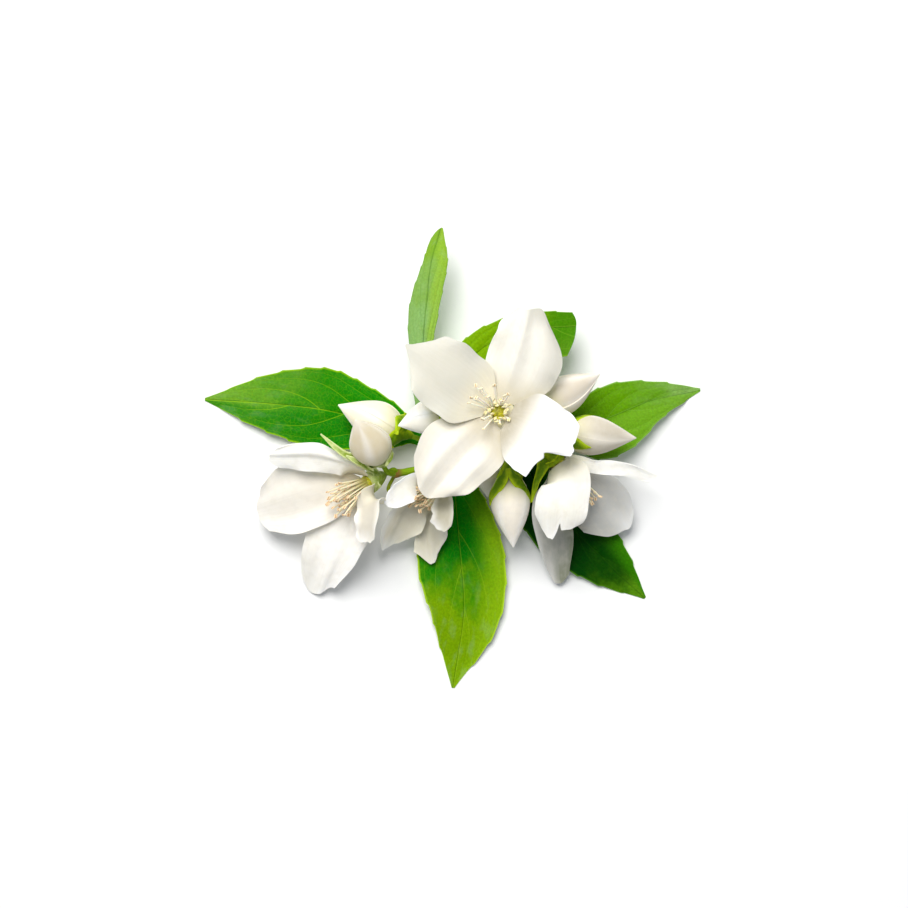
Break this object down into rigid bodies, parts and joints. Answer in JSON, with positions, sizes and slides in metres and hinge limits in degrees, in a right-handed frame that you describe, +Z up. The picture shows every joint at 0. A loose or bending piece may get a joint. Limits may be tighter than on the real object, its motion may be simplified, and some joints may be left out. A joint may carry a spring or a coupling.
{
  "type": "jasmine flower sprig",
  "caption": "Cut sprig of white four-petalled blossom with yellow stamens, closed buds and toothed green leaves, lying flat on a surface as decoration.",
  "frame": {"origin": "on the surface that the sprig lies on, under the middle of its outline", "axes": "+Z up off the surface, +X towards the tip of the right leaf, +Y towards the tip of the top leaf"},
  "size_m": [0.1041, 0.0957, 0.0258],
  "materials": {
    "petal": "matte",
    "stamen": "matte",
    "sepal": "matte",
    "leaf_dark": "satin",
    "leaf_light": "satin",
    "stem": "matte"
  },
  "bodies": {
    "root": {"stem": "stem", "leaf_left": "leaf_dark", "leaf_lower_right": "leaf_dark", "leaf_bottom": "leaf_dark", "leaf_top": "leaf_light", "leaf_back": "leaf_light", "leaf_right": "leaf_light", "main_cup": "sepal", "main_stamens": "stamen", "main_petal_left": "petal", "main_petal_up": "petal", "main_petal_right": "petal", "main_petal_down": "petal", "left_cup": "sepal", "left_stamens": "stamen", "left_petal_up": "petal", "left_petal_left": "petal", "left_petal_down": "petal", "left_petal_right": "petal", "centre_cup": "sepal", "centre_stamens": "stamen", "centre_petal_up": "petal", "centre_petal_left": "petal", "centre_petal_down": "petal", "centre_petal_right": "petal", "right_cup": "sepal", "right_stamens": "stamen", "right_petal_front": "petal", "right_petal_up": "petal", "right_petal_far": "petal", "right_petal_down": "petal", "bud_upper_left_cup": "sepal", "bud_upper_left_body": "petal", "bud_front_left_cup": "sepal", "bud_front_left_body": "petal", "bud_behind_left_cup": "sepal", "bud_behind_left_body": "petal", "bud_upper_right_cup": "sepal", "bud_upper_right_body": "petal", "bud_right_cup": "sepal", "bud_right_body": "petal", "bud_bottom_cup": "sepal", "bud_bottom_body": "petal", "bud_peeking_cup": "sepal", "bud_peeking_body": "petal"}
  },
  "joints": []
}
